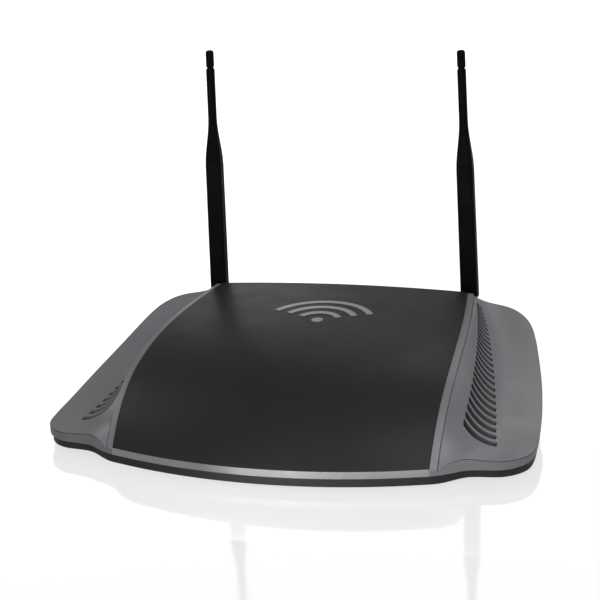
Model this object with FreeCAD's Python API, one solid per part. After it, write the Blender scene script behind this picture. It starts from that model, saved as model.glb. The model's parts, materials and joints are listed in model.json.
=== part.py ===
import FreeCAD
import Part
import math
import os

# Desktop wireless gateway with an optical port and two swivelling rod antennas.
# Millimetres. X is the width, Y runs from the front edge to the rear, Z is up.
# The parts are modelled with the front edge of the body at Y = 0 and are moved on
# export so that the origin is the middle of the bottom of the overall box.

Vector = FreeCAD.Vector
X_AXIS = Vector(1, 0, 0)
Y_AXIS = Vector(0, 1, 0)
Z_AXIS = Vector(0, 0, 1)
SIDES = (("left", -1), ("right", 1))

# Body plan
BODY_DEPTH = 164.0
FRONT_ARC_RADIUS = 241.0
STEP_HALF = 82.0
SIDE_HALF = 124.0
WIDEST_SIDE_Y = 44.0
SIDE_TAPER = 13.0
SIDE_TAPER_LENGTH = 93.0
REAR_CORNER_Y = 146.0
OUTLINE_STEPS = 40

# Crowned centre and its panel
PANEL_HALF = 79.5
PANEL_TAPER = 9.8
PANEL_WIDEST_Y = 40.0
STRIP_TOP = 9.4
STRIP_BOTTOM = 5.8
CREST_RISE = 41.2
CREST_LENGTH = 30.2
CROWN = 2.3
CROWN_LENGTH = 60.0
PANEL_THICKNESS = 2.0
PANEL_GAP = 0.15
RIM_WIDTH = 3.4
RIM_DROP = 0.6
FLANK_STEP = 0.8
SKIN = 3.4
WING_SKIN = 2.7

# Wings
WING_FRONT_Z = 11.2
WING_FRONT_Y = 24.0
WING_SWEEP = 32.5
WING_SWEEP_LENGTH = 144.0
WING_SWEEP_POWER = 1.9
FLANK_POWER = 4.2
EDGE_ROLL = 1.2
WING_BAND = 5.0
GROOVE_WIDTH = 0.45
GROOVE_DEPTH = 0.7

# Shells
COVER_WALL = 2.6
BASE_INSET = 1.2
BASE_WALL = 2.6
LIP_GAP = 0.15
LIP_HEIGHT = 1.5
BASE_Z = 1.2
WING_BASE_Z = 2.2
FLOOR = 2.2
FOOT_HALF = 81.0
FOOT_EASE = 16.0
REAR_WALL_Y = BODY_DEPTH - BASE_INSET
REAR_WALL_INNER_Y = REAR_WALL_Y - BASE_WALL
FLOOR_Z = BASE_Z + FLOOR

# Vent slots
VENT_COUNT = 26
VENT_FIRST_Y = 39.0
VENT_SPAN = 116.0
VENT_CROWDING = 0.45

# Board and what stands on it
BOARD_HALF = 62.0
BOARD_FRONT_Y = 40.0
BOARD_REAR_Y = 159.0
BOARD_BOTTOM_Z = 8.4
BOARD_Z = 10.0
PORT_FACE_Y = REAR_WALL_Y + 0.3
PORT_GAP = 0.3
LAN_COUNT = 4
LAN_PITCH = 14.05
LAN_LEFT_X = -39.0
LAN_HEIGHT = 13.4
LAN_DEPTH = 16.0
PHONE_X = 37.8
PHONE_WIDTH = 11.6
OPTICAL_X = 54.5
OPTICAL_SIZE = 12.0
OPTICAL_DEPTH = 16.0
POWER_X = -57.0
POWER_Z = 15.6
POWER_BUTTON_X = -46.2
WPS_BUTTON_X = 23.2
RESET_X = 28.6
BUTTON_Z = 14.6
PHONE_TOP_Z = 22.4
OPTICAL_TOP_Z = 22.4
OPTICAL_CUT_TOP_Z = 24.6
POWER_JACK_HALF = 4.5
POWER_JACK_TOP_Z = 21.0

# Fixings
CASE_SCREWS = ((-74, 34), (74, 34), (-77, 130), (77, 130))
BOARD_SCREWS = ((-57, 46), (57, 46), (-57, 118), (57, 118))
FEET = ((-62, 22), (62, 22), (-62, 150), (62, 150))
FOOT_RADIUS = 6.0
FOOT_HEIGHT = 2.0
KEYHOLE_X = 40.0
KEYHOLE_Y = 86.0
KEYHOLE_RADIUS = 4.0
LABEL_SIZE = (56.0, 26.0)
LABEL_Y = 52.0
LED_Y = 46.0
LED_PITCH = 12.0
LED_COUNT = 5
COAX_RADIUS = 0.65
ARC_SHARE = 0.45

# Antennas: the pair stands a little off the middle and leans inwards by a degree
ANTENNA_SHIFT = -4.0
ANTENNA_SPREAD = 72.8
ANTENNA_LEAN = 1.1
ANTENNA_Z = 25.0
PIVOT_Y = 178.0
SHAFT_RADIUS = 5.0
SHAFT_CLEARANCE = 0.08
PIN_RADIUS = 1.5
PIN_CLEARANCE = 0.05
FORK_RADIUS = 5.2
FORK_GAP = 2.3
TONGUE_HALF = 2.1
TONGUE_DEPTH = 5.6
FORK_CHEEK = 2.9
FLANGE_RADIUS = 7.2
FLANGE_THICKNESS = 2.2
NECK_RADIUS = 5.8
COLLAR_FRONT_Y = 157.6
RADIATOR_RADIUS = 1.0
RADIATOR_BOTTOM_Z = 46.0
RADIATOR_LENGTH = 112.0
BLADE_BOTTOM_Z = 42.0
BLADE_FLARE_Z = 113.0
BLADE_SLIM_Z = 140.0
BLADE_TOP_Z = 167.2
TIP_Z = 168.6
TIP_RADIUS = 2.25
TIP_NECK_RADIUS = 1.85
TOP_Z = 177.5
BLADE_WIDTH = 9.4
BLADE_DEPTH = 7.0
SLIM_WIDTH = 4.6

OVERALL_DEPTH = PIVOT_Y + FORK_RADIUS
BIG = 300.0


def box(x_low, x_high, y_low, y_high, z_low, z_high):
    return Part.makeBox(x_high - x_low, y_high - y_low, z_high - z_low, Vector(x_low, y_low, z_low))


def rod(radius, start, direction, length):
    return Part.makeCylinder(radius, length, Vector(*start), direction)


def antenna_x(sign):
    return sign * ANTENNA_SPREAD + ANTENNA_SHIFT


def smooth(value):
    t = min(max(value, 0.0), 1.0)
    return t * t * (3.0 - 2.0 * t)


def save(name, shapes):
    """Moves one sub-part to the exported origin and writes its STEP file."""
    shape = shapes[0] if len(shapes) == 1 else Part.makeCompound(shapes)
    moved = shape.copy()
    moved.translate(Vector(0, -OVERALL_DEPTH / 2.0, 0))
    moved.exportStep(os.path.join("parts", name + ".step"))
    print(name, "solids", len(moved.Solids), "valid", moved.isValid(), "volume", round(moved.Volume, 1))


# ---------------------------------------------------------------- surfaces

def front_line(x):
    return FRONT_ARC_RADIUS - math.sqrt(FRONT_ARC_RADIUS ** 2 - x * x)


def centre_height(x, y):
    """Height of the crowned centre: a steep front that levels off to the rear."""
    depth = y - front_line(x)
    rise = CREST_RISE * (1.0 - math.exp(-depth / CREST_LENGTH))
    crown = CROWN * (x / PANEL_HALF) ** 2 * smooth(depth / CROWN_LENGTH)
    return STRIP_TOP + rise - crown


def panel_half(y):
    return PANEL_HALF - PANEL_TAPER * ((y - PANEL_WIDEST_Y) / (BODY_DEPTH - PANEL_WIDEST_Y)) ** 2


def crease(y):
    return panel_half(y) + RIM_WIDTH


def side_half(y):
    return SIDE_HALF - SIDE_TAPER * ((y - WIDEST_SIDE_Y) / SIDE_TAPER_LENGTH) ** 2


def wing_edge_height(y):
    run = max(y - WING_FRONT_Y, 0.0) / WING_SWEEP_LENGTH
    return WING_FRONT_Z + WING_SWEEP * run ** WING_SWEEP_POWER


def wing_height(across, y):
    """Height of the concave flank and wing; across is 0 at the crease and 1 at the side."""
    top = centre_height(crease(y), y) - RIM_DROP - FLANK_STEP
    edge = wing_edge_height(y)
    flank = max(1.0 - across, 0.0) ** FLANK_POWER
    roll = EDGE_ROLL * max(across, 0.0) ** 8
    return edge + (top - edge) * flank - roll


def solid_below(rows, drop=0.0):
    """Solid between a surface through a grid of points and its copy far below."""
    surface = Part.BSplineSurface()
    surface.interpolate(rows)
    face = surface.toShape()
    face.translate(Vector(0, 0, -drop))
    return face.extrude(Vector(0, 0, -BIG))


def centre_rows():
    rows = []
    for i in range(13):
        x = -96.0 + 16.0 * i
        row = []
        for k in range(17):
            y = front_line(x) - 8.0 + 185.0 * (k / 16.0) ** 1.7
            row.append(Vector(x, y, centre_height(x, y)))
        rows.append(row)
    return rows


def wing_rows(sign):
    rows = []
    for i in range(12):
        across = -0.08 + 1.2 * i / 11.0
        row = []
        for k in range(17):
            y = 6.0 + 168.0 * (k / 16.0) ** 1.3
            x = crease(y) + across * (side_half(y) - crease(y))
            row.append(Vector(sign * x, y, wing_height(across, y)))
        rows.append(row)
    return rows


def arc_points(centre_x, centre_y, radius, start_degrees, end_degrees, steps):
    points = []
    for k in range(steps + 1):
        angle = math.radians(start_degrees + (end_degrees - start_degrees) * k / steps)
        points.append(Vector(centre_x + radius * math.cos(angle), centre_y + radius * math.sin(angle), 0))
    return points


def side_curve():
    """Right half of the plan outline, from the front arc to the straight rear edge."""
    front = [Vector(x, front_line(x), 0) for x in (STEP_HALF - 12.0, STEP_HALF - 6.0, STEP_HALF)]
    step = [Vector(88.0, 17.8, 0), Vector(95.0, 22.2, 0)]
    front_radius = WIDEST_SIDE_Y - WING_FRONT_Y
    front_corner = arc_points(SIDE_HALF - front_radius, WIDEST_SIDE_Y, front_radius, -90.0, 0.0, 5)
    side = [Vector(side_half(y), y, 0) for y in (62.0, 84.0, 106.0, 127.0)]
    lean = math.atan(2.0 * SIDE_TAPER * (REAR_CORNER_Y - WIDEST_SIDE_Y) / SIDE_TAPER_LENGTH ** 2)
    rear_radius = (BODY_DEPTH - REAR_CORNER_Y) / (1.0 - math.sin(lean))
    rear_x = side_half(REAR_CORNER_Y) - rear_radius * math.cos(lean)
    rear_corner = arc_points(rear_x, BODY_DEPTH - rear_radius, rear_radius, math.degrees(lean), 90.0, 5)
    rear = [Vector(rear_x - run, BODY_DEPTH, 0) for run in (7.0, 14.0)]
    curve = Part.BSplineCurve()
    curve.interpolate(front + step + front_corner + side + rear_corner + rear)
    return curve


def outline_wire(inset):
    """Plan outline: curved front edge, a step to each wing, round corners, straight rear."""
    curve = side_curve()
    first = curve.FirstParameter
    last = curve.LastParameter
    points = []
    for k in range(OUTLINE_STEPS + 1):
        place = first + (last - first) * k / OUTLINE_STEPS
        along = curve.tangent(place)[0]
        points.append(curve.value(place) + Vector(-along.y, along.x, 0) * inset)
    inner = Part.BSplineCurve()
    inner.interpolate(points)
    right = inner.toShape()
    left = right.mirror(Vector(0, 0, 0), X_AXIS)
    start = points[0]
    end = points[-1]
    front = Part.Arc(Vector(-start.x, start.y, 0), Vector(0, inset, 0), start).toShape()
    rear = Part.makeLine(end, Vector(-end.x, end.y, 0))
    return Part.Wire(Part.__sortEdges__([front, right, rear, left]))


def prism(inset, low=-20.0, high=80.0):
    face = Part.Face(outline_wire(inset))
    face.translate(Vector(0, 0, low))
    return face.extrude(Vector(0, 0, high - low))


def strip_between(extra):
    """Upright block as wide as the panel plus extra on each side, past both ends of the body."""
    front_y = -10.0
    rear_y = BODY_DEPTH + 10.0
    steps = 6
    points = []
    for k in range(steps + 1):
        y = front_y + (rear_y - front_y) * k / steps
        points.append(Vector(panel_half(y) + extra, y, 0))
    curve = Part.BSplineCurve()
    curve.interpolate(points)
    right = curve.toShape()
    left = right.mirror(Vector(0, 0, 0), X_AXIS)
    front = Part.makeLine(Vector(-points[0].x, front_y, 0), Vector(points[0].x, front_y, 0))
    rear = Part.makeLine(Vector(points[-1].x, rear_y, 0), Vector(-points[-1].x, rear_y, 0))
    face = Part.Face(Part.Wire(Part.__sortEdges__([front, right, rear, left])))
    face.translate(Vector(0, 0, -20))
    return face.extrude(Vector(0, 0, 120))


def seam_height(y):
    if y <= 12.0:
        return STRIP_BOTTOM
    if y < WING_FRONT_Y:
        blend = smooth((y - 12.0) / (WING_FRONT_Y - 12.0))
        return STRIP_BOTTOM + blend * (WING_FRONT_Z - WING_BAND - STRIP_BOTTOM)
    return wing_edge_height(y) - WING_BAND


def below_seam(raise_by=0.0):
    """Everything under the joint between the dark base and the grey cover."""
    points = []
    for y in (-12.0, 0.0, 12.0, 18.0, 24.0, 48.0, 80.0, 112.0, 144.0, 176.0):
        points.append(Vector(-BIG / 2, y, seam_height(y) + raise_by))
    curve = Part.BSplineCurve()
    curve.interpolate(points)
    top = curve.toShape()
    low_front = Vector(-BIG / 2, points[0].y, -20)
    low_rear = Vector(-BIG / 2, points[-1].y, -20)
    edges = [
        top,
        Part.makeLine(points[0], low_front),
        Part.makeLine(low_front, low_rear),
        Part.makeLine(low_rear, points[-1]),
    ]
    face = Part.Face(Part.Wire(Part.__sortEdges__(edges)))
    return face.extrude(Vector(BIG, 0, 0))


def front_band(depth, half_width, low, high):
    """Zone within a given depth of the curved front edge."""
    zone = box(-half_width, half_width, -5, 60, low, high)
    inner = rod(FRONT_ARC_RADIUS - depth, (0, FRONT_ARC_RADIUS, low - 1), Z_AXIS, high - low + 2)
    return zone.cut(inner)


# ---------------------------------------------------------------- shells

def top_cover(centre, wings):
    """Grey upper shell with its wings, rims, panel seat and vents."""
    middle = strip_between(RIM_WIDTH)
    lowered = centre.copy()
    lowered.translate(Vector(0, 0, -RIM_DROP))
    outer = lowered.common(middle)
    for wing in wings:
        outer = outer.fuse(wing.cut(middle))
    outer = outer.common(prism(0.0)).cut(below_seam())

    inside = centre.copy()
    inside.translate(Vector(0, 0, -PANEL_THICKNESS - SKIN))
    hollow = inside.common(middle)
    for wing in wings:
        ceiling = wing.copy()
        ceiling.translate(Vector(0, 0, -WING_SKIN))
        hollow = hollow.fuse(ceiling.cut(middle))
    hollow = hollow.common(prism(COVER_WALL))
    shell = outer.cut(hollow)

    seat_floor = centre.copy()
    seat_floor.translate(Vector(0, 0, -PANEL_THICKNESS))
    seat = strip_between(PANEL_GAP).cut(seat_floor)
    shell = shell.cut(seat)
    shell = shell.cut(front_band(1.2, PANEL_HALF, -5, STRIP_TOP))
    shell = shell.cut(vent_slots())
    for wing, (side, sign) in zip(wings, SIDES):
        shell = shell.cut(shadow_grooves(wing, sign))
    for x in led_places():
        shell = shell.cut(rod(1.7, (x, LED_Y, 20), Z_AXIS, 40))
    return shell.fuse(cover_bosses(hollow)).removeSplitter()


def shadow_grooves(wing, sign):
    """Fine grooves along the foot of the rim and just under the edge of one wing."""
    floor = wing.copy()
    floor.translate(Vector(0, 0, -GROOVE_DEPTH))
    own_side = box(min(0, sign * BIG), max(0, sign * BIG), -20, BIG, 0, 90)
    beside_rim = strip_between(RIM_WIDTH + GROOVE_WIDTH).cut(strip_between(RIM_WIDTH))
    beside_rim = beside_rim.common(own_side).cut(floor)
    upper = wing.copy()
    upper.translate(Vector(0, 0, -GROOVE_WIDTH))
    lower = wing.copy()
    lower.translate(Vector(0, 0, -2.0 * GROOVE_WIDTH))
    skirt = prism(-1.0).cut(prism(GROOVE_WIDTH)).cut(strip_between(RIM_WIDTH + 2.0 * GROOVE_WIDTH))
    under_edge = upper.cut(lower).common(skirt)
    return [beside_rim, under_edge]


def cover_bosses(hollow):
    """Four posts that hang from the cover and take the case screws."""
    posts = []
    for x, y in CASE_SCREWS:
        post = rod(3.5, (x, y, 12.05), Z_AXIS, 60)
        room = hollow.copy()
        room.translate(Vector(0, 0, 0.4))
        posts.append(post.common(room).cut(rod(1.25, (x, y, 5), Z_AXIS, 16)))
    return posts


def vent_slots():
    """Rows of curved slots that follow each flank and shrink to the rear."""
    slots = []
    for k in range(VENT_COUNT):
        t = k / (VENT_COUNT - 1.0)
        y = VENT_FIRST_Y + VENT_SPAN * ((1.0 + VENT_CROWDING) * t - VENT_CROWDING * t * t)
        width = 4.3 - 2.9 * t
        hook = 3.6 - 2.2 * t
        start = crease(y) + 6.6 - 5.2 * t
        end = crease(y) + 23.4 - 18.6 * t ** 0.8
        middle_x = start + 0.35 * (end - start)
        low = [Vector(start, y + hook, 0), Vector(middle_x, y + 0.28 * hook, 0), Vector(end, y, 0)]
        high = [point + Vector(0, width, 0) for point in low]
        edges = [
            Part.Arc(*low).toShape(),
            Part.makeLine(low[2], high[2]),
            Part.Arc(*high).toShape(),
            Part.makeLine(high[0], low[0]),
        ]
        slot = Part.Face(Part.Wire(Part.__sortEdges__(edges))).extrude(Vector(0, 0, 90))
        slots.append(slot)
        slots.append(slot.mirror(Vector(0, 0, 0), X_AXIS))
    return slots


def top_panel(centre):
    """Gloss panel: one curved sheet between the rims."""
    under = centre.copy()
    under.translate(Vector(0, 0, -PANEL_THICKNESS))
    sheet = strip_between(0.0).common(centre).cut(under)
    sheet = sheet.common(prism(0.0, STRIP_TOP, 90.0))
    return sheet


def front_trim():
    """Silver strip in the groove under the front edge of the panel."""
    return front_band(1.2, PANEL_HALF - 0.1, STRIP_BOTTOM, STRIP_TOP).common(prism(0.0))


def emblem(centre):
    """Generic wireless mark: a dot under three arcs, just proud of the panel."""
    raised = centre.copy()
    raised.translate(Vector(0, 0, 0.3))
    origin = Vector(2.0, 104.0, 0)
    pieces = [rod(3.0, origin, Z_AXIS, 90)]
    half_angle = 64.0
    for radius in (11.0, 19.5, 28.0):
        turn = FreeCAD.Rotation(Z_AXIS, 90.0 - half_angle)
        place = FreeCAD.Placement(origin, turn)
        outer = Part.makeCylinder(radius + 1.7, 90, Vector(0, 0, 0), Z_AXIS, 2 * half_angle)
        inner = Part.makeCylinder(radius - 1.7, 90, Vector(0, 0, 0), Z_AXIS, 360)
        ring = outer.cut(inner)
        ring.Placement = place
        pieces.append(ring)
    mark = []
    for piece in pieces:
        mark.extend(piece.common(raised).cut(centre).Solids)
    return mark


def base_section(raise_by):
    """Cross-section block of the base: flat foot in the middle, easing up under the wings."""
    low = BASE_Z + raise_by
    wing = WING_BASE_Z + raise_by
    steps = 6
    points = []
    for k in range(steps + 1):
        t = k / steps
        points.append(Vector(FOOT_HALF + FOOT_EASE * t, 0, low + (wing - low) * smooth(t)))
    ease = Part.BSplineCurve()
    ease.interpolate(Points=points, InitialTangent=X_AXIS, FinalTangent=X_AXIS)
    right = ease.toShape()
    left = right.mirror(Vector(0, 0, 0), X_AXIS)
    inner = points[0]
    outer = points[-1]
    side_low = Vector(BIG / 2, 0, wing)
    side_high = Vector(BIG / 2, 0, 90)
    edges = [
        Part.makeLine(Vector(-inner.x, 0, low), inner),
        right,
        Part.makeLine(outer, side_low),
        Part.makeLine(side_low, side_high),
        Part.makeLine(side_high, Vector(-side_high.x, 0, 90)),
        Part.makeLine(Vector(-side_high.x, 0, 90), Vector(-side_low.x, 0, wing)),
        Part.makeLine(Vector(-side_low.x, 0, wing), Vector(-outer.x, 0, wing)),
        left,
    ]
    face = Part.Face(Part.Wire(Part.__sortEdges__(edges)))
    face.translate(Vector(0, -20, 0))
    return face.extrude(Vector(0, 240, 0))


def rear_openings():
    """Cut-outs in the rear wall for the ports, buttons and antenna shafts."""
    low_y = REAR_WALL_INNER_Y - 1.0
    high_y = REAR_WALL_Y + 1.0
    gap = PORT_GAP
    lan_right = LAN_LEFT_X + LAN_COUNT * LAN_PITCH
    half_phone = PHONE_WIDTH / 2
    half_optical = OPTICAL_SIZE / 2
    cuts = [
        box(LAN_LEFT_X - gap, lan_right + gap, low_y, high_y, BOARD_Z - gap, BOARD_Z + LAN_HEIGHT + gap),
        box(PHONE_X - half_phone - gap, PHONE_X + half_phone + gap, low_y, high_y,
            BOARD_Z - gap, PHONE_TOP_Z + gap),
        box(OPTICAL_X - half_optical - gap, OPTICAL_X + half_optical + gap, low_y, high_y,
            BOARD_Z - gap, OPTICAL_CUT_TOP_Z),
        box(POWER_X - POWER_JACK_HALF - gap, POWER_X + POWER_JACK_HALF + gap, low_y, high_y,
            BOARD_Z - gap, POWER_JACK_TOP_Z + gap),
        rod(3.9, (POWER_BUTTON_X, low_y, BUTTON_Z), Y_AXIS, 5),
        rod(2.9, (WPS_BUTTON_X, low_y, BUTTON_Z), Y_AXIS, 5),
        rod(0.9, (RESET_X, low_y, BUTTON_Z), Y_AXIS, 5),
    ]
    for side, sign in SIDES:
        hole = SHAFT_RADIUS + SHAFT_CLEARANCE
        cuts.append(rod(hole, (antenna_x(sign), low_y, ANTENNA_Z), Y_AXIS, 5))
    return cuts


def bottom_case():
    """Dark lower shell: floor, walls, lip, posts and every opening."""
    outer = prism(BASE_INSET).common(base_section(0.0)).common(below_seam())
    hollow = prism(BASE_INSET + BASE_WALL).common(base_section(FLOOR))
    lip_ring = prism(COVER_WALL + LIP_GAP).cut(prism(BASE_INSET + BASE_WALL))
    lip = lip_ring.common(below_seam(LIP_HEIGHT)).common(base_section(0.0))
    case = outer.cut(hollow).fuse(lip)
    for x, y in CASE_SCREWS:
        case = case.fuse(rod(4.4, (x, y, BASE_Z + 1.0), Z_AXIS, 12.0 - BASE_Z - 1.0))
    for x, y in BOARD_SCREWS:
        case = case.fuse(rod(3.5, (x, y, FLOOR_Z - 1.0), Z_AXIS, BOARD_BOTTOM_Z - FLOOR_Z + 1.0))
    for x, y in CASE_SCREWS:
        case = case.cut(rod(3.1, (x, y, 0), Z_AXIS, 7.0))
        case = case.cut(rod(1.7, (x, y, 0), Z_AXIS, 20.0))
    for x, y in BOARD_SCREWS:
        case = case.cut(rod(1.2, (x, y, FLOOR_Z + 0.6), Z_AXIS, 20.0))
    for x, y in FEET:
        case = case.cut(rod(FOOT_RADIUS, (x, y, 0), Z_AXIS, FOOT_HEIGHT))
    case = case.cut(floor_cuts())
    case = case.cut(rear_openings())
    return case.removeSplitter()


def floor_cuts():
    """Wall-mounting keyholes, label recess and floor vents."""
    cuts = []
    for x in (-KEYHOLE_X, KEYHOLE_X):
        cuts.append(rod(KEYHOLE_RADIUS, (x, KEYHOLE_Y, 0), Z_AXIS, 6))
        cuts.append(box(x - 2.1, x + 2.1, KEYHOLE_Y, KEYHOLE_Y + 9.0, 0, 6))
        cuts.append(rod(2.1, (x, KEYHOLE_Y + 9.0, 0), Z_AXIS, 6))
    half_x = LABEL_SIZE[0] / 2 + 0.4
    half_y = LABEL_SIZE[1] / 2 + 0.4
    cuts.append(box(-half_x, half_x, LABEL_Y - half_y, LABEL_Y + half_y, 0, BASE_Z + 0.3))
    for k in range(9):
        x = -28.0 + 7.0 * k
        cuts.append(box(x - 1.0, x + 1.0, 78.0, 96.0, 0, 6))
        cuts.append(box(x - 1.0, x + 1.0, 104.0, 122.0, 0, 6))
    return cuts


def rubber_feet():
    return [rod(FOOT_RADIUS - 0.1, (x, y, 0), Z_AXIS, FOOT_HEIGHT) for x, y in FEET]


def rating_label():
    half_x = LABEL_SIZE[0] / 2
    half_y = LABEL_SIZE[1] / 2
    return box(-half_x, half_x, LABEL_Y - half_y, LABEL_Y + half_y, BASE_Z + 0.05, BASE_Z + 0.3)


def case_screws():
    screws = []
    for x, y in CASE_SCREWS:
        head = rod(2.8, (x, y, 5.0), Z_AXIS, 2.0)
        drive = box(x - 1.8, x + 1.8, y - 0.35, y + 0.35, 4.9, 6.0)
        cross = box(x - 0.35, x + 0.35, y - 1.8, y + 1.8, 4.9, 6.0)
        shank = rod(1.25, (x, y, 7.0), Z_AXIS, 12.5)
        screws.append(head.fuse(shank).cut([drive, cross]))
    return screws


def board_screws():
    screws = []
    for x, y in BOARD_SCREWS:
        head = rod(2.6, (x, y, BOARD_Z), Z_AXIS, 1.6)
        drive = box(x - 1.6, x + 1.6, y - 0.3, y + 0.3, BOARD_Z + 0.8, BOARD_Z + 2)
        cross = box(x - 0.3, x + 0.3, y - 1.6, y + 1.6, BOARD_Z + 0.8, BOARD_Z + 2)
        shank = rod(1.2, (x, y, FLOOR_Z + 1.6), Z_AXIS, BOARD_Z - FLOOR_Z - 1.6)
        screws.append(head.fuse(shank).cut([drive, cross]))
    return screws


# ---------------------------------------------------------------- electronics

def main_board():
    board = box(-BOARD_HALF, BOARD_HALF, BOARD_FRONT_Y, BOARD_REAR_Y, BOARD_BOTTOM_Z, BOARD_Z)
    for x, y in BOARD_SCREWS:
        board = board.cut(rod(1.6, (x, y, BOARD_BOTTOM_Z - 1), Z_AXIS, 4))
    return board


def gateway_chip():
    return box(-11, 11, 89, 111, BOARD_Z, BOARD_Z + 1.6)


def heat_spreader():
    low = BOARD_Z + 1.6
    plate = box(-17, 17, 83, 117, low, low + 2.0)
    fins = [box(-17 + 4.0 * k, -15.6 + 4.0 * k, 83, 117, low + 2.0, low + 9.0) for k in range(9)]
    return plate.fuse(fins)


def memory_chips():
    return [box(-33, -21, y, y + 9, BOARD_Z, BOARD_Z + 1.1) for y in (86, 100)]


def flash_chip():
    return box(-31, -23, 72, 78, BOARD_Z, BOARD_Z + 1.6)


def radio_shield():
    outer = box(24, 50, 70, 104, BOARD_Z, BOARD_Z + 3.4)
    inner = box(24.3, 49.7, 70.3, 103.7, BOARD_Z - 1, BOARD_Z + 3.1)
    holes = []
    for i in range(5):
        for j in range(7):
            holes.append(rod(0.8, (27 + 5 * i, 72 + 5 * j, BOARD_Z), Z_AXIS, 5))
    return outer.cut(inner).cut(holes)


def optical_module():
    low_y = PORT_FACE_Y - OPTICAL_DEPTH - 19
    body = box(OPTICAL_X - 5.5, OPTICAL_X + 5.5, low_y, low_y + 19, BOARD_Z, BOARD_Z + 9.5)
    ribs = [box(OPTICAL_X - 5.5, OPTICAL_X + 5.5, low_y + 2 + 4 * k, low_y + 4 + 4 * k,
                BOARD_Z + 9.5, BOARD_Z + 10.3) for k in range(4)]
    return body.fuse(ribs)


def optical_adapter():
    """Square adapter with a plug opening, a ferrule sleeve and two hinge lugs."""
    half = OPTICAL_SIZE / 2
    rear = PORT_FACE_Y
    front = rear - OPTICAL_DEPTH
    body = box(OPTICAL_X - half, OPTICAL_X + half, front, rear, BOARD_Z, OPTICAL_TOP_Z)
    bore = box(OPTICAL_X - 3.8, OPTICAL_X + 3.8, front + 3, rear + 1, BOARD_Z + 1.6, BOARD_Z + 10.8)
    body = body.cut(bore)
    body = body.fuse(rod(1.25, (OPTICAL_X, front + 3, BOARD_Z + 6.2), Y_AXIS, 5.0))
    lug_y, lug_z = shutter_axis()
    for x in (OPTICAL_X - half, OPTICAL_X + half - 1.4):
        lug = box(x, x + 1.4, rear - 2.0, lug_y + 1.2, lug_z - 1.2, lug_z + 1.2)
        lug = lug.fuse(box(x, x + 1.4, rear - 2.0, rear, BOARD_Z + 11.0, lug_z + 1.2))
        body = body.fuse(lug.cut(rod(0.6, (x - 1, lug_y, lug_z), X_AXIS, 4)))
    return body


def shutter_axis():
    return PORT_FACE_Y + 1.4, BOARD_Z + 13.3


def optical_shutter():
    """Dust flap that hangs in front of the optical opening from its top edge."""
    y, z = shutter_axis()
    half = OPTICAL_SIZE / 2 - 1.6
    flap = box(OPTICAL_X - half, OPTICAL_X + half, PORT_FACE_Y + 0.3, PORT_FACE_Y + 1.3, BOARD_Z + 0.6, z)
    barrel = rod(1.1, (OPTICAL_X - half, y, z), X_AXIS, 2 * half)
    grip = box(OPTICAL_X - 2, OPTICAL_X + 2, PORT_FACE_Y + 1.3, PORT_FACE_Y + 2.1,
               BOARD_Z + 0.8, BOARD_Z + 1.8)
    return flap.fuse([barrel, grip]).cut(rod(0.65, (OPTICAL_X - half - 1, y, z), X_AXIS, 2 * half + 2))


def shutter_pin():
    y, z = shutter_axis()
    half = OPTICAL_SIZE / 2
    return rod(0.6, (OPTICAL_X - half, y, z), X_AXIS, 2 * half)


def lan_centres():
    return [LAN_LEFT_X + LAN_PITCH * (k + 0.5) for k in range(LAN_COUNT)]


def lan_jacks():
    right = LAN_LEFT_X + LAN_COUNT * LAN_PITCH
    block = box(LAN_LEFT_X, right, PORT_FACE_Y - LAN_DEPTH, PORT_FACE_Y, BOARD_Z, BOARD_Z + LAN_HEIGHT)
    mouth_y = PORT_FACE_Y + 1.0
    for x in lan_centres():
        plug = box(x - 5.9, x + 5.9, PORT_FACE_Y - 12.6, mouth_y, BOARD_Z + 2.6, BOARD_Z + 11.2)
        latch = box(x - 3.1, x + 3.1, PORT_FACE_Y - 10.0, mouth_y, BOARD_Z + 1.0, BOARD_Z + 2.7)
        block = block.cut([plug, latch])
    return block


def lan_contacts():
    contacts = []
    for x in lan_centres():
        for k in range(8):
            low = x - 3.57 + 1.02 * k - 0.22
            contacts.append(box(low, low + 0.44, PORT_FACE_Y - 11.5, PORT_FACE_Y - 3.0,
                                BOARD_Z + 10.8, BOARD_Z + 11.2))
    return contacts


def lan_magnetics():
    low_y = PORT_FACE_Y - LAN_DEPTH - 17
    return [box(x - 9, x + 9, low_y, low_y + 13, BOARD_Z, BOARD_Z + 5.8) for x in (-25, 3)]


def phone_jack():
    half = PHONE_WIDTH / 2
    block = box(PHONE_X - half, PHONE_X + half, PORT_FACE_Y - 15.5, PORT_FACE_Y, BOARD_Z, PHONE_TOP_Z)
    block = block.cut(box(PHONE_X - 4.8, PHONE_X + 4.8, PORT_FACE_Y - 12, PORT_FACE_Y + 1, 12.6, 19.6))
    return block.cut(box(PHONE_X - 3.0, PHONE_X + 3.0, PORT_FACE_Y - 10, PORT_FACE_Y + 1, 11.0, 12.7))


def power_jack():
    half = POWER_JACK_HALF
    block = box(POWER_X - half, POWER_X + half, PORT_FACE_Y - 14, PORT_FACE_Y, BOARD_Z, POWER_JACK_TOP_Z)
    return block.cut(rod(2.75, (POWER_X, PORT_FACE_Y - 9.5, POWER_Z), Y_AXIS, 12))


def power_jack_pin():
    return rod(1.05, (POWER_X, PORT_FACE_Y - 9.5, POWER_Z), Y_AXIS, 8.6)


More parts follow.
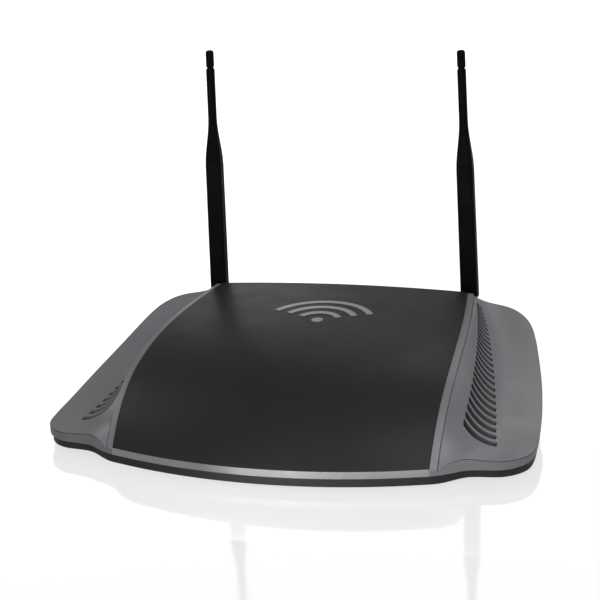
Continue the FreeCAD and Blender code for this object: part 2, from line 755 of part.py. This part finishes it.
def push_button(x, radius, reach, stem_radius, stem_end):
    """Round cap through the rear wall, with a flange inside and a stem to its switch."""
    cap = rod(radius, (x, COLLAR_FRONT_Y, BUTTON_Z), Y_AXIS, reach - COLLAR_FRONT_Y)
    flange = rod(radius + 0.9, (x, 158.7, BUTTON_Z), Y_AXIS, REAR_WALL_INNER_Y - 0.1 - 158.7)
    stem = rod(stem_radius, (x, stem_end, BUTTON_Z), Y_AXIS, 158.0 - stem_end)
    rim = [e for e in cap.Edges if abs(e.BoundBox.YMin - reach) < 0.01 and e.BoundBox.YLength < 0.01]
    return cap.makeFillet(0.5, rim).fuse([flange, stem])


def power_button():
    return push_button(POWER_BUTTON_X, 3.6, REAR_WALL_Y + 2.6, 1.6, 151.6)


def wps_button():
    return push_button(WPS_BUTTON_X, 2.6, REAR_WALL_Y + 1.6, 1.2, 153.8)


def power_switch():
    body = box(POWER_BUTTON_X - 3.8, POWER_BUTTON_X + 3.8, 146, 155, BOARD_Z, 19)
    return body.cut(rod(1.68, (POWER_BUTTON_X, 149, BUTTON_Z), Y_AXIS, 8))


def button_switches():
    wps = box(WPS_BUTTON_X - 3, WPS_BUTTON_X + 3, 150, 155, BOARD_Z, 17.4)
    wps = wps.cut(rod(1.28, (WPS_BUTTON_X, 152.6, BUTTON_Z), Y_AXIS, 5))
    reset = box(RESET_X - 2.2, RESET_X + 2.2, 150, 156, BOARD_Z, 17.4)
    reset = reset.cut(rod(1.48, (RESET_X, 152, BUTTON_Z), Y_AXIS, 6))
    return [wps, reset]


def reset_plunger():
    return rod(1.4, (RESET_X, 153.0, BUTTON_Z), Y_AXIS, 5.4)


def capacitors():
    places = ((-56, 139, 4.0, 11.5), (-56, 129, 4.0, 11.5), (-46, 134, 3.2, 9.0))
    return [rod(radius, (x, y, BOARD_Z), Z_AXIS, height) for x, y, radius, height in places]


def power_inductors():
    coils = []
    for x, y in ((-50, 104), (-50, 90)):
        coils.append(box(x - 5, x + 5, y - 5, y + 5, BOARD_Z, BOARD_Z + 4.2))
    return coils


def led_places():
    return [LED_PITCH * (k - (LED_COUNT - 1) / 2.0) for k in range(LED_COUNT)]


def status_leds():
    return [box(x - 1.0, x + 1.0, LED_Y - 0.8, LED_Y + 0.8, BOARD_Z, BOARD_Z + 0.8) for x in led_places()]


def light_guide(centre):
    """Clear posts, joined by a bar, that bring the status light up to the panel."""
    under = centre.copy()
    under.translate(Vector(0, 0, -PANEL_THICKNESS - 0.1))
    posts = [rod(1.5, (x, LED_Y, BOARD_Z + 1.0), Z_AXIS, 60).common(under) for x in led_places()]
    reach = led_places()[-1] + 1.5
    bar = box(-reach, reach, LED_Y - 1.5, LED_Y + 1.5, 20, 22.5)
    return bar.fuse(posts)


def coax_sockets():
    sockets = []
    for side, sign in SIDES:
        x = sign * 46.0
        sockets.append(rod(1.6, (x, 112, BOARD_Z), Z_AXIS, 1.4))
    return sockets


def lead_path(points):
    """Straight runs joined by tangent arcs; each arc is nearly as large as its runs allow."""
    edges = []
    start = points[0]
    for before, corner, after in zip(points, points[1:], points[2:]):
        back = before - corner
        ahead = after - corner
        reach = ARC_SHARE * min(back.Length, ahead.Length)
        back.normalize()
        ahead.normalize()
        first = corner + back * reach
        last = corner + ahead * reach
        bisector = back + ahead
        bisector.normalize()
        half = back.getAngle(ahead) / 2.0
        radius = reach * math.tan(half)
        middle = corner + bisector * (radius / math.sin(half) - radius)
        edges.append(Part.makeLine(start, first))
        edges.append(Part.Arc(first, middle, last).toShape())
        start = last
    edges.append(Part.makeLine(start, points[-1]))
    return Part.Wire(edges)


def coax_leads():
    """Thin leads from the board sockets into the hollow antenna shafts."""
    leads = []
    for side, sign in SIDES:
        points = [
            Vector(sign * 46, 112, BOARD_Z + 1.4),
            Vector(sign * 46, 112, BOARD_Z + 7.4),
            Vector(sign * 48, 116, BOARD_Z + 13.4),
            Vector(sign * 54, 125, BOARD_Z + 17.0),
            Vector(sign * 62, 135, BOARD_Z + 16.5),
            Vector(antenna_x(sign) - sign, 145, ANTENNA_Z + 0.2),
            Vector(antenna_x(sign), 152, ANTENNA_Z),
            Vector(antenna_x(sign), 160, ANTENNA_Z),
        ]
        path = lead_path(points)
        section = Part.Wire(Part.makeCircle(COAX_RADIUS, points[0], Z_AXIS))
        leads.append(path.makePipeShell([section], True, False))
    return leads


# ---------------------------------------------------------------- antennas

def antenna_base(sign):
    """Collar that turns in the rear wall, with a fork for the blade."""
    x = antenna_x(sign)
    z = ANTENNA_Z
    flange_y = REAR_WALL_Y + 0.1
    shaft = rod(SHAFT_RADIUS, (x, COLLAR_FRONT_Y, z), Y_AXIS, flange_y - COLLAR_FRONT_Y + 1)
    flange = rod(FLANGE_RADIUS, (x, flange_y, z), Y_AXIS, FLANGE_THICKNESS)
    neck = rod(NECK_RADIUS, (x, flange_y, z), Y_AXIS, 171.0 - flange_y)
    half = FORK_GAP + FORK_CHEEK
    arm = box(x - half, x + half, 169.0, PIVOT_Y, z - FORK_RADIUS, z + FORK_RADIUS)
    arm = arm.fuse(rod(FORK_RADIUS, (x - half, PIVOT_Y, z), X_AXIS, 2 * half))
    arm = arm.common(rod(FLANGE_RADIUS, (x, 160, z), Y_AXIS, 40))
    arm = arm.cut(box(x - FORK_GAP, x + FORK_GAP, 171.0, 190, z - 10, z + 10))
    base = shaft.fuse([flange, neck, arm])
    base = base.cut(rod(2.5, (x, 150, z), Y_AXIS, 18))
    return base.cut(rod(PIN_RADIUS, (x - 10, PIVOT_Y, z), X_AXIS, 20)).removeSplitter()


def antenna_clip(sign):
    """Ring inside the wall that keeps the collar in its hole."""
    x = antenna_x(sign)
    ring = rod(7.0, (x, 158.6, ANTENNA_Z), Y_AXIS, REAR_WALL_INNER_Y - 0.1 - 158.6)
    return ring.cut(rod(SHAFT_RADIUS, (x, 150, ANTENNA_Z), Y_AXIS, 20))


def antenna_pin(sign):
    half = FORK_GAP + FORK_CHEEK
    return rod(PIN_RADIUS, (antenna_x(sign) - half, PIVOT_Y, ANTENNA_Z), X_AXIS, 2 * half)


def blade_section(x, z, width, depth, corner):
    """Rounded rectangle across the blade at one height."""
    hx = width / 2
    hy = depth / 2
    k = corner * (1.0 - math.sqrt(0.5))
    edges = []
    corners = ((1, -1), (1, 1), (-1, 1), (-1, -1))
    ends = []
    for sx, sy in corners:
        along_y = Vector(x + sx * hx, PIVOT_Y + sy * (hy - corner), z)
        along_x = Vector(x + sx * (hx - corner), PIVOT_Y + sy * hy, z)
        middle = Vector(x + sx * (hx - k), PIVOT_Y + sy * (hy - k), z)
        pair = (along_x, middle, along_y) if sx * sy < 0 else (along_y, middle, along_x)
        ends.append(pair)
    for index, (first, middle, last) in enumerate(ends):
        edges.append(Part.Arc(first, middle, last).toShape())
        edges.append(Part.makeLine(last, ends[(index + 1) % 4][0]))
    return Part.Wire(edges)


def blade_size(z):
    slim = smooth((z - BLADE_FLARE_Z) / (BLADE_SLIM_Z - BLADE_FLARE_Z))
    lower = BLADE_WIDTH - 0.5 * (z - BLADE_BOTTOM_Z) / (BLADE_FLARE_Z - BLADE_BOTTOM_Z)
    width = lower + (SLIM_WIDTH - lower) * slim
    depth = BLADE_DEPTH + (SLIM_WIDTH - BLADE_DEPTH) * slim
    return width, depth, 1.2 + 0.7 * slim


def antenna_blade(sign):
    """Sleeve of the antenna, with the tongue that turns on the hinge pin."""
    x = antenna_x(sign)
    z = ANTENNA_Z
    neck_top = BLADE_BOTTOM_Z - 2.5
    heights = [BLADE_BOTTOM_Z, 78.0] + [BLADE_FLARE_Z + 4.5 * k for k in range(7)] + [BLADE_TOP_Z]
    sections = [blade_section(x, h, *blade_size(h)) for h in heights]
    sleeve = Part.makeLoft(sections, True, True)
    neck_wire = blade_section(x, neck_top, 2 * TONGUE_HALF, TONGUE_DEPTH, 0.6)
    shoulder = Part.makeLoft([neck_wire, sections[0]], True, True)
    half_depth = TONGUE_DEPTH / 2
    neck = box(x - TONGUE_HALF, x + TONGUE_HALF, PIVOT_Y - half_depth, PIVOT_Y + half_depth,
               z, neck_top + 0.2)
    barrel = rod(4.4, (x - TONGUE_HALF, PIVOT_Y, z), X_AXIS, 2 * TONGUE_HALF)
    collar = rod(TIP_NECK_RADIUS, (x, PIVOT_Y, BLADE_TOP_Z - 1), Z_AXIS, TIP_Z - BLADE_TOP_Z + 1)
    blade = sleeve.fuse([shoulder, neck, barrel, collar])
    blade = blade.cut(rod(PIN_RADIUS + PIN_CLEARANCE, (x - 5, PIVOT_Y, z), X_AXIS, 10))
    return blade.cut(antenna_radiator(sign))


def antenna_radiator(sign):
    start = (antenna_x(sign), PIVOT_Y, RADIATOR_BOTTOM_Z)
    return rod(RADIATOR_RADIUS, start, Z_AXIS, RADIATOR_LENGTH)


def leaned(shape, sign):
    """The antennas rest turned a little towards each other in their collars."""
    axis_point = Vector(antenna_x(sign), 0, ANTENNA_Z)
    turned = shape.copy()
    turned.rotate(axis_point, Y_AXIS, -sign * ANTENNA_LEAN)
    return turned


def antenna_tip(sign):
    """End cap beyond the groove."""
    x = antenna_x(sign)
    cap = rod(TIP_RADIUS, (x, PIVOT_Y, TIP_Z), Z_AXIS, TOP_Z - TIP_Z)
    top_edges = [edge for edge in cap.Edges if abs(edge.BoundBox.ZMin - TOP_Z) < 0.01]
    return cap.makeFillet(1.4, top_edges)


# ---------------------------------------------------------------- assembly

def build():
    os.makedirs("parts", exist_ok=True)
    centre = solid_below(centre_rows())
    wings = [solid_below(wing_rows(sign)) for side, sign in SIDES]

    save("bottom_case", [bottom_case()])
    save("top_cover", [top_cover(centre, wings)])
    save("top_panel", [top_panel(centre)])
    save("front_trim", [front_trim()])
    save("emblem", emblem(centre))
    save("light_guide", [light_guide(centre)])

    single = (rating_label, main_board, gateway_chip, heat_spreader, flash_chip, radio_shield,
              optical_module, optical_adapter, optical_shutter, shutter_pin, lan_jacks, phone_jack,
              power_jack, power_jack_pin, power_button, wps_button, power_switch, reset_plunger)
    for make in single:
        save(make.__name__, [make()])

    grouped = (rubber_feet, case_screws, board_screws, memory_chips, lan_contacts, lan_magnetics,
               button_switches, capacitors, power_inductors, status_leds, coax_sockets, coax_leads)
    for make in grouped:
        save(make.__name__, make())

    pieces = (antenna_base, antenna_clip, antenna_pin, antenna_blade, antenna_radiator, antenna_tip)
    for side, sign in SIDES:
        for make in pieces:
            name = make.__name__.replace("antenna_", "antenna_" + side + "_")
            save(name, [leaned(make(sign), sign)])


build()
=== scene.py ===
import json
import math

import bpy
from mathutils import Matrix, Vector

# Looks of the wireless gateway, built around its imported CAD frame.
# Metres, in the frame's own axes: X is the width, Y runs from front to rear, Z is up.

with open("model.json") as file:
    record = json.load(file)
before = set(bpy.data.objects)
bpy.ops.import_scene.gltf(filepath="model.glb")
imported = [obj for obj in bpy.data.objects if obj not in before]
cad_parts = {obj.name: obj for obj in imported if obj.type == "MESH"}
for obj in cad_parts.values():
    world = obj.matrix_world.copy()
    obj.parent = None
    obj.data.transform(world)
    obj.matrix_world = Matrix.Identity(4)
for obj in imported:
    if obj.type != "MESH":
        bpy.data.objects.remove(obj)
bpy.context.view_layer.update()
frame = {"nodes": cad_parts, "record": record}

NODES = frame["nodes"]
MM = 0.001

# How far the painted shade in a gap or slot reaches into the plastic round it
PAINTED_SHADE_REACH = 4.0 * MM

# Camera: aimed over the middle of the body
CAMERA_TARGET = (0.0005, -0.0116, 0.0677)
CAMERA_DISTANCE = 0.850
CAMERA_AZIMUTH = math.radians(16.79)
CAMERA_ELEVATION = math.radians(17.42)
CAMERA_ROLL = math.radians(2.81)
CAMERA_LENS = 101.4
SENSOR_WIDTH = 36.0
CLIP_START = 0.01

# Surroundings: what the camera sees behind the object, and how strongly they light it
BACKDROP_STRENGTH = 1.0
FILL_STRENGTH = 0.24

# Floor: half its side, its emission as seen by the camera and by the object, and its gloss
FLOOR_REACH = 1.78
FLOOR_LIGHT = 0.70
FLOOR_BOUNCE = 0.06
FLOOR_ROUGHNESS = 0.06

# Cards round the floor that light nothing else
GLOW_DISTANCE = 1.8
GLOW_WIDTH = 3.6
GLOW_HEIGHT = 1.8
GLOW_POWER = 28.0
GLOW_TURNS = {"glow_rear": 0, "glow_left": 90, "glow_front": 180, "glow_right": 270}

# Softboxes: name, position, target, width, height and power in watts.
# The two bounce cards lie just in front of the strip, and light its middle and its right.
SOFTBOXES = (
    ("key", (0.98, -0.50, 1.10), (0.03, 0, 0.03), 1.7, 1.7, 16.5),
    ("low_front", (-0.36, -1.10, 0.16), (0, -0.09, 0.01), 0.6, 0.3, 2.3),
    ("bounce_card", (-0.010, -0.150, 0.004), (-0.010, -0.092, 0.030), 0.070, 0.06, 0.062),
    ("bounce_side", (0.070, -0.150, 0.004), (0.066, -0.092, 0.030), 0.09, 0.06, 0.045),
    ("left_fill", (-1.00, 0.10, 0.75), (-0.05, 0, 0.03), 0.6, 0.6, 2.2),
    ("rear_left", (-0.50, 1.25, 0.44), (0, 0, 0.04), 0.30, 0.30, 0.42),
    ("rear_right", (0.10, 1.0, 0.95), (0.1, 0, 0.02), 0.45, 0.45, 1.2),
)

# Sockets of the Mix node that carry colours
MIX_FIRST = 6
MIX_SECOND = 7
MIX_RESULT = 2


# ---------------------------------------------------------------- node helpers

class Nodes:
    """One material's node tree, with short calls for the nodes that most materials share."""

    def __init__(self, name):
        self.material = bpy.data.materials.new(name)
        self.material.use_nodes = True
        self.tree = self.material.node_tree
        self.shader = self.tree.nodes["Principled BSDF"]
        self.place = self.add("ShaderNodeTexCoord").outputs["Object"]

    def add(self, kind, **settings):
        node = self.tree.nodes.new(kind)
        for key, value in settings.items():
            setattr(node, key, value)
        return node

    def link(self, source, target):
        self.tree.links.new(source, target)

    def noise(self, scale, detail=3.0, stretch=(1, 1, 1)):
        """Noise with so many features per metre."""
        mapping = self.add("ShaderNodeMapping")
        mapping.inputs["Scale"].default_value = stretch
        self.link(self.place, mapping.inputs["Vector"])
        node = self.add("ShaderNodeTexNoise")
        node.inputs["Scale"].default_value = scale
        node.inputs["Detail"].default_value = detail
        self.link(mapping.outputs["Vector"], node.inputs["Vector"])
        return node.outputs["Fac"]

    def ranged(self, source, low, high, from_low=0.3, from_high=0.7):
        """The source's span from from_low to from_high, spread over low to high."""
        node = self.add("ShaderNodeMapRange")
        self.link(source, node.inputs["Value"])
        node.inputs["From Min"].default_value = from_low
        node.inputs["From Max"].default_value = from_high
        node.inputs["To Min"].default_value = low
        node.inputs["To Max"].default_value = high
        return node.outputs["Result"]

    def mix(self, factor, first, second):
        """A colour between two, which are colours or sockets."""
        node = self.add("ShaderNodeMix", data_type="RGBA")
        self.link(factor, node.inputs["Factor"])
        for index, value in ((MIX_FIRST, first), (MIX_SECOND, second)):
            if isinstance(value, tuple):
                node.inputs[index].default_value = (*value, 1.0)
            else:
                self.link(value, node.inputs[index])
        return node.outputs[MIX_RESULT]

    def edges(self, radius):
        """1 at the sharp edges, falling to 0 within the radius: the mask for the painted edge highlight."""
        bevel = self.add("ShaderNodeBevel", samples=4)
        bevel.inputs["Radius"].default_value = radius
        straight = self.add("ShaderNodeNewGeometry").outputs["Normal"]
        product = self.add("ShaderNodeVectorMath", operation="DOT_PRODUCT")
        self.link(bevel.outputs["Normal"], product.inputs[0])
        self.link(straight, product.inputs[1])
        return self.ranged(product.outputs["Value"], 1.0, 0.0, 0.86, 0.995)

    def recess_shade_mask(self, reach):
        """0 deep in gaps and slots, 1 on open surfaces: the mask for the painted shade in recesses."""
        node = self.add("ShaderNodeAmbientOcclusion", samples=8)
        node.inputs["Distance"].default_value = reach
        return self.ranged(node.outputs["AO"], 0.0, 1.0, 0.18, 0.62)

    def bump(self, height, distance):
        node = self.add("ShaderNodeBump")
        node.inputs["Strength"].default_value = 1.0
        node.inputs["Distance"].default_value = distance
        self.link(height, node.inputs["Height"])
        self.link(node.outputs["Normal"], self.shader.inputs["Normal"])

    def colour(self, socket):
        self.link(socket, self.shader.inputs["Base Color"])

    def roughness(self, socket):
        self.link(socket, self.shader.inputs["Roughness"])

    def set(self, socket, value):
        self.shader.inputs[socket].default_value = value


def shade(colour, factor):
    return tuple(channel * factor for channel in colour)


def moulded(name, colour, rough, grain, depth, edge_highlight_gain, edge=0.35):
    """Moulded plastic: fine grain, faint clouding, a painted highlight that lightens the edges and painted
    shade that darkens the recesses.

    The grain is in features per metre; its depth and the width of the painted edge highlight are in mm.
    """
    n = Nodes(name)
    clouds = n.ranged(n.noise(28, 4.0), 0.0, 1.0)
    tinted = n.mix(clouds, shade(colour, 0.94), shade(colour, 1.06))
    # Painted highlight: sharp edges are lightened by the given factor, standing in for light caught on the
    # edges
    edge_highlighted = n.mix(n.edges(edge * MM), tinted, shade(colour, edge_highlight_gain))
    # Painted shade: the colour falls to a quarter in gaps, slots and creases, where ambient occlusion finds
    # them
    n.colour(n.mix(n.recess_shade_mask(PAINTED_SHADE_REACH), shade(colour, 0.25), edge_highlighted))
    n.roughness(n.ranged(n.noise(90, 5.0), rough - 0.05, rough + 0.05))
    n.bump(n.noise(grain, 2.0), depth * MM)
    return n


def metal(name, colour, rough, grain, depth, brushed=(1, 1, 1)):
    """Bare metal with fine streaks, long where brushed squeezes the noise."""
    n = Nodes(name)
    n.set("Metallic", 1.0)
    streaks = n.noise(grain, 3.0, brushed)
    n.colour(n.mix(n.ranged(streaks, 0.0, 1.0), shade(colour, 0.88), shade(colour, 1.06)))
    n.roughness(n.ranged(n.noise(60, 5.0), rough - 0.05, rough + 0.06))
    n.bump(streaks, depth * MM)
    return n


# ---------------------------------------------------------------- materials

def cover_grey():
    n = moulded("cover_grey", (0.168, 0.170, 0.181), 0.40, grain=1700, depth=0.012, edge_highlight_gain=1.35, edge=0.45)
    n.set("Specular IOR Level", 0.45)
    return n


def panel_gloss():
    n = Nodes("panel_gloss")
    clouds = n.ranged(n.noise(22, 4.0), 0.0, 1.0)
    n.colour(n.mix(clouds, (0.0088, 0.0080, 0.0084), (0.0108, 0.0100, 0.0104)))
    n.roughness(n.ranged(n.noise(70, 5.0), 0.46, 0.53))
    n.bump(n.noise(2400, 2.0), 0.002 * MM)
    n.set("Specular IOR Level", 0.30)
    n.set("Coat Weight", 0.05)
    n.set("Coat Roughness", 0.20)
    return n


def base_black():
    return moulded("base_black", (0.0115, 0.0110, 0.0115), 0.50, grain=1300, depth=0.03, edge_highlight_gain=1.6, edge=0.4)


def trim_silver():
    return metal("trim_silver", (0.44, 0.45, 0.47), 0.22, brushed=(0.06, 1, 1), grain=2600, depth=0.004)


def emblem_grey():
    return moulded("emblem_grey", (0.255, 0.255, 0.262), 0.34, grain=1800, depth=0.004, edge_highlight_gain=1.3, edge=0.2)


def clear_plastic():
    n = moulded("clear_plastic", (0.60, 0.62, 0.64), 0.28, grain=900, depth=0.006, edge_highlight_gain=1.1)
    n.set("Transmission Weight", 0.55)
    n.set("IOR", 1.49)
    return n


def label_paper():
    n = Nodes("label_paper")
    fibre = n.noise(1500, 4.0)
    n.colour(n.mix(n.ranged(fibre, 0.0, 1.0), (0.60, 0.60, 0.58), (0.68, 0.68, 0.66)))
    n.roughness(n.ranged(n.noise(200), 0.42, 0.55))
    n.bump(fibre, 0.01 * MM)
    return n


def board_green():
    """Solder mask over copper: tracks raised a little under the green."""
    n = Nodes("board_green")
    tracks = n.add("ShaderNodeTexBrick", offset=0.37, squash=0.6)
    tracks.inputs["Scale"].default_value = 260
    tracks.inputs["Mortar Size"].default_value = 0.03
    tracks.inputs["Mortar Smooth"].default_value = 0.2
    n.link(n.place, tracks.inputs["Vector"])
    pour = n.ranged(n.noise(60, 3.0), 0.0, 1.0, 0.48, 0.52)
    mask = n.mix(pour, (0.010, 0.085, 0.030), (0.018, 0.125, 0.045))
    n.colour(n.mix(tracks.outputs["Fac"], mask, (0.028, 0.170, 0.062)))
    n.roughness(n.ranged(n.noise(300), 0.28, 0.42))
    n.bump(tracks.outputs["Fac"], 0.03 * MM)
    return n


def chip_black():
    return moulded("chip_black", (0.016, 0.016, 0.017), 0.62, grain=2600, depth=0.02, edge_highlight_gain=1.5, edge=0.2)


def heatsink():
    return metal("heatsink", (0.50, 0.51, 0.53), 0.42, brushed=(1, 0.12, 0.12), grain=1800, depth=0.008)


def shield_tin():
    return metal("shield_tin", (0.66, 0.66, 0.65), 0.34, grain=420, depth=0.006)


def optical_green():
    return moulded("optical_green", (0.012, 0.205, 0.070), 0.38, grain=1500, depth=0.012, edge_highlight_gain=1.5, edge=0.3)


def steel():
    return metal("steel", (0.58, 0.58, 0.59), 0.30, brushed=(1, 1, 0.1), grain=2200, depth=0.006)


def jack_black():
    return moulded("jack_black", (0.018, 0.018, 0.019), 0.48, grain=1500, depth=0.02, edge_highlight_gain=1.7, edge=0.3)


def contact_gold():
    return metal("contact_gold", (0.86, 0.62, 0.24), 0.26, brushed=(1, 0.1, 1), grain=3000, depth=0.003)


def jack_grey():
    return moulded("jack_grey", (0.30, 0.30, 0.31), 0.46, grain=1500, depth=0.015, edge_highlight_gain=1.3, edge=0.3)


def button_grey():
    return moulded("button_grey", (0.21, 0.21, 0.22), 0.40, grain=1600, depth=0.012, edge_highlight_gain=1.35, edge=0.3)


def button_white():
    return moulded("button_white", (0.66, 0.66, 0.64), 0.36, grain=1600, depth=0.012, edge_highlight_gain=1.1, edge=0.3)


def capacitor_can():
    return moulded("capacitor_can", (0.025, 0.030, 0.055), 0.30, grain=1200, depth=0.006, edge_highlight_gain=1.6, edge=0.4)


def lead_black():
    return moulded("lead_black", (0.014, 0.014, 0.015), 0.40, grain=1800, depth=0.01, edge_highlight_gain=1.6, edge=0.2)


def foot_rubber():
    return moulded("foot_rubber", (0.028, 0.028, 0.029), 0.78, grain=900, depth=0.05, edge_highlight_gain=1.4, edge=0.5)


def antenna_black():
    n = moulded("antenna_black", (0.0016, 0.0014, 0.0014), 0.52, grain=1500, depth=0.015, edge_highlight_gain=2.6, edge=0.4)
    n.set("Specular IOR Level", 0.07)
    return n


FINISHES = (
    cover_grey, panel_gloss, base_black, trim_silver, emblem_grey, clear_plastic, label_paper,
    board_green, chip_black, heatsink, shield_tin, optical_green, steel, jack_black, contact_gold,
    jack_grey, button_grey, button_white, capacitor_can, lead_black, foot_rubber, antenna_black,
)
MATERIALS = {finish.__name__: finish().material for finish in FINISHES}


def finish_nodes():
    """Gives each CAD node the material of its slot in the record."""
    for entry in frame["record"]["subparts"]:
        node = NODES[entry["node"]]
        node.data.materials.clear()
        node.data.materials.append(MATERIALS[entry["material_slot"]])


# ---------------------------------------------------------------- studio

def look_at(position, target):
    """The placement of a camera or light at a position, level, facing a target."""
    forward = (Vector(target) - Vector(position)).normalized()
    side = forward.cross(Vector((0, 0, 1))).normalized()
    up = side.cross(forward)
    turn = Matrix((side, up, -forward)).transposed().to_4x4()
    return Matrix.Translation(position) @ turn


def add_camera():
    across = math.cos(CAMERA_ELEVATION)
    away = Vector((
        math.sin(CAMERA_AZIMUTH) * across,
        -math.cos(CAMERA_AZIMUTH) * across,
        math.sin(CAMERA_ELEVATION),
    ))
    data = bpy.data.cameras.new("camera")
    data.sensor_width = SENSOR_WIDTH
    data.lens = CAMERA_LENS
    data.clip_start = CLIP_START
    camera = bpy.data.objects.new("camera", data)
    bpy.context.scene.collection.objects.link(camera)
    position = Vector(CAMERA_TARGET) + CAMERA_DISTANCE * away
    camera.matrix_world = look_at(position, CAMERA_TARGET) @ Matrix.Rotation(-CAMERA_ROLL, 4, "Z")
    bpy.context.scene.camera = camera


def add_softbox(name, position, target, width, height, power):
    data = bpy.data.lights.new(name, "AREA")
    data.shape = "RECTANGLE"
    data.size = width
    data.size_y = height
    data.energy = power
    light = bpy.data.objects.new(name, data)
    bpy.context.scene.collection.objects.link(light)
    light.matrix_world = look_at(position, target)
    light.visible_camera = False
    return light


def add_world():
    """White where the camera looks past the object, and dimmer as a light."""
    world = bpy.data.worlds.new("studio")
    bpy.context.scene.world = world
    world.use_nodes = True
    tree = world.node_tree
    fill = tree.nodes["Background"]
    backdrop = tree.nodes.new("ShaderNodeBackground")
    for node, strength in ((fill, FILL_STRENGTH), (backdrop, BACKDROP_STRENGTH)):
        node.inputs["Color"].default_value = (1, 1, 1, 1)
        node.inputs["Strength"].default_value = strength
    rays = tree.nodes.new("ShaderNodeLightPath")
    either = tree.nodes.new("ShaderNodeMixShader")
    tree.links.new(rays.outputs["Is Camera Ray"], either.inputs["Fac"])
    tree.links.new(fill.outputs[0], either.inputs[1])
    tree.links.new(backdrop.outputs[0], either.inputs[2])
    tree.links.new(either.outputs[0], tree.nodes["World Output"].inputs["Surface"])


def add_floor():
    """A pale, faintly glossy sheet that runs out to the white backdrop."""
    quarters = ((-1, -1), (1, -1), (1, 1), (-1, 1))
    corners = [(x * FLOOR_REACH, y * FLOOR_REACH, 0) for x, y in quarters]
    mesh = bpy.data.meshes.new("floor")
    mesh.from_pydata(corners, [], [(0, 1, 2, 3)])
    floor = bpy.data.objects.new("floor", mesh)
    bpy.context.scene.collection.objects.link(floor)
    n = Nodes("floor_white")
    n.set("Roughness", FLOOR_ROUGHNESS)
    rays = n.add("ShaderNodeLightPath")
    light = n.ranged(rays.outputs["Is Camera Ray"], FLOOR_BOUNCE, FLOOR_LIGHT, 0.0, 1.0)
    n.link(light, n.shader.inputs["Emission Strength"])
    n.set("Emission Color", (1, 1, 1, 1))
    n.colour(n.mix(n.noise(6), (0.09, 0.09, 0.09), (0.10, 0.10, 0.10)))
    mesh.materials.append(n.material)
    return floor


def add_floor_glow(floor):
    """Cards that only the floor sees, so that its sheen is as white as the backdrop."""
    only = bpy.data.collections.new("floor_only")
    only.objects.link(floor)
    middle = GLOW_HEIGHT / 2
    for name, degrees in GLOW_TURNS.items():
        turn = math.radians(degrees)
        position = (-GLOW_DISTANCE * math.sin(turn), GLOW_DISTANCE * math.cos(turn), middle)
        card = add_softbox(name, position, (0, 0, middle), GLOW_WIDTH, GLOW_HEIGHT, GLOW_POWER)
        card.light_linking.receiver_collection = only


finish_nodes()
add_camera()
add_world()
add_floor_glow(add_floor())
for softbox in SOFTBOXES:
    add_softbox(*softbox)
bpy.context.scene.view_settings.view_transform = "Standard"
